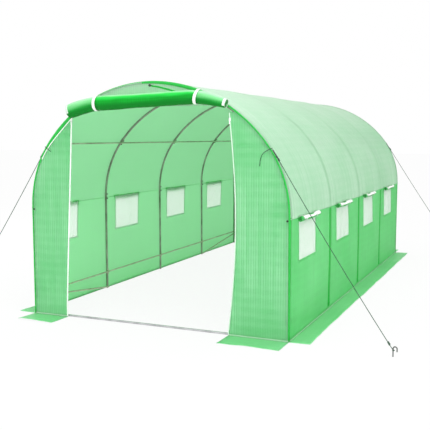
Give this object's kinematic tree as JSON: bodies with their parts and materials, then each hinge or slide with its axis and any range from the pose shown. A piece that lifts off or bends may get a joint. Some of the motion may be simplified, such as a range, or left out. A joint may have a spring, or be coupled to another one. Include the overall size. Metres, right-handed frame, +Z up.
{
  "type": "polytunnel greenhouse",
  "caption": "Walk-in polytunnel: arched tube frame under a green woven sheet cover with netted side windows, rolled-up front door, ground flaps and guy ropes.",
  "frame": {"origin": "middle of the footprint on the ground", "axes": "+X to the right of a person facing the front doorway, +Y from front to rear, +Z up"},
  "size_m": [4.005, 5.22, 2],
  "materials": {
    "steel_tube": "galvanised tube",
    "roof_sheet": "woven polyethylene sheet, pale where the sky lights it",
    "wall_sheet": "woven polyethylene sheet",
    "end_sheet": "woven polyethylene sheet",
    "rolled_sheet": "woven polyethylene sheet in many layers",
    "insect_net": "fine white net",
    "white_tape": "woven white tape",
    "guy_cord": "twisted dark green cord",
    "peg_steel": "zinc plated rod"
  },
  "bodies": {
    "root": {"front_hoop": "steel_tube", "second_hoop": "steel_tube", "middle_hoop": "steel_tube", "fourth_hoop": "steel_tube", "rear_hoop": "steel_tube", "ridge_purlin": "steel_tube", "left_haunch_purlin": "steel_tube", "right_haunch_purlin": "steel_tube", "left_base_rail": "steel_tube", "right_base_rail": "steel_tube", "left_braces": "steel_tube", "right_braces": "steel_tube", "front_sill_bar": "steel_tube", "rear_sill_bar": "steel_tube", "left_roof_haunch": "roof_sheet", "left_roof_crown": "roof_sheet", "right_roof_crown": "roof_sheet", "right_roof_haunch": "roof_sheet", "left_wall": "wall_sheet", "right_wall": "wall_sheet", "left_skirt": "wall_sheet", "right_skirt": "wall_sheet", "front_left_panel": "end_sheet", "front_right_panel": "end_sheet", "front_header": "end_sheet", "rear_left_panel": "end_sheet", "rear_right_panel": "end_sheet", "rear_door": "end_sheet", "front_left_skirt": "end_sheet", "front_right_skirt": "end_sheet", "rear_skirt": "end_sheet", "door_roll": "rolled_sheet", "left_window_rolls": "rolled_sheet", "right_window_rolls": "rolled_sheet", "left_window_nets": "insect_net", "right_window_nets": "insect_net", "door_ties": "white_tape", "front_zips": "white_tape", "rear_zips": "white_tape", "front_left_guy": "guy_cord", "front_right_guy": "guy_cord", "rear_left_guy": "guy_cord", "rear_right_guy": "guy_cord", "guy_pegs": "peg_steel"}
  },
  "joints": []
}
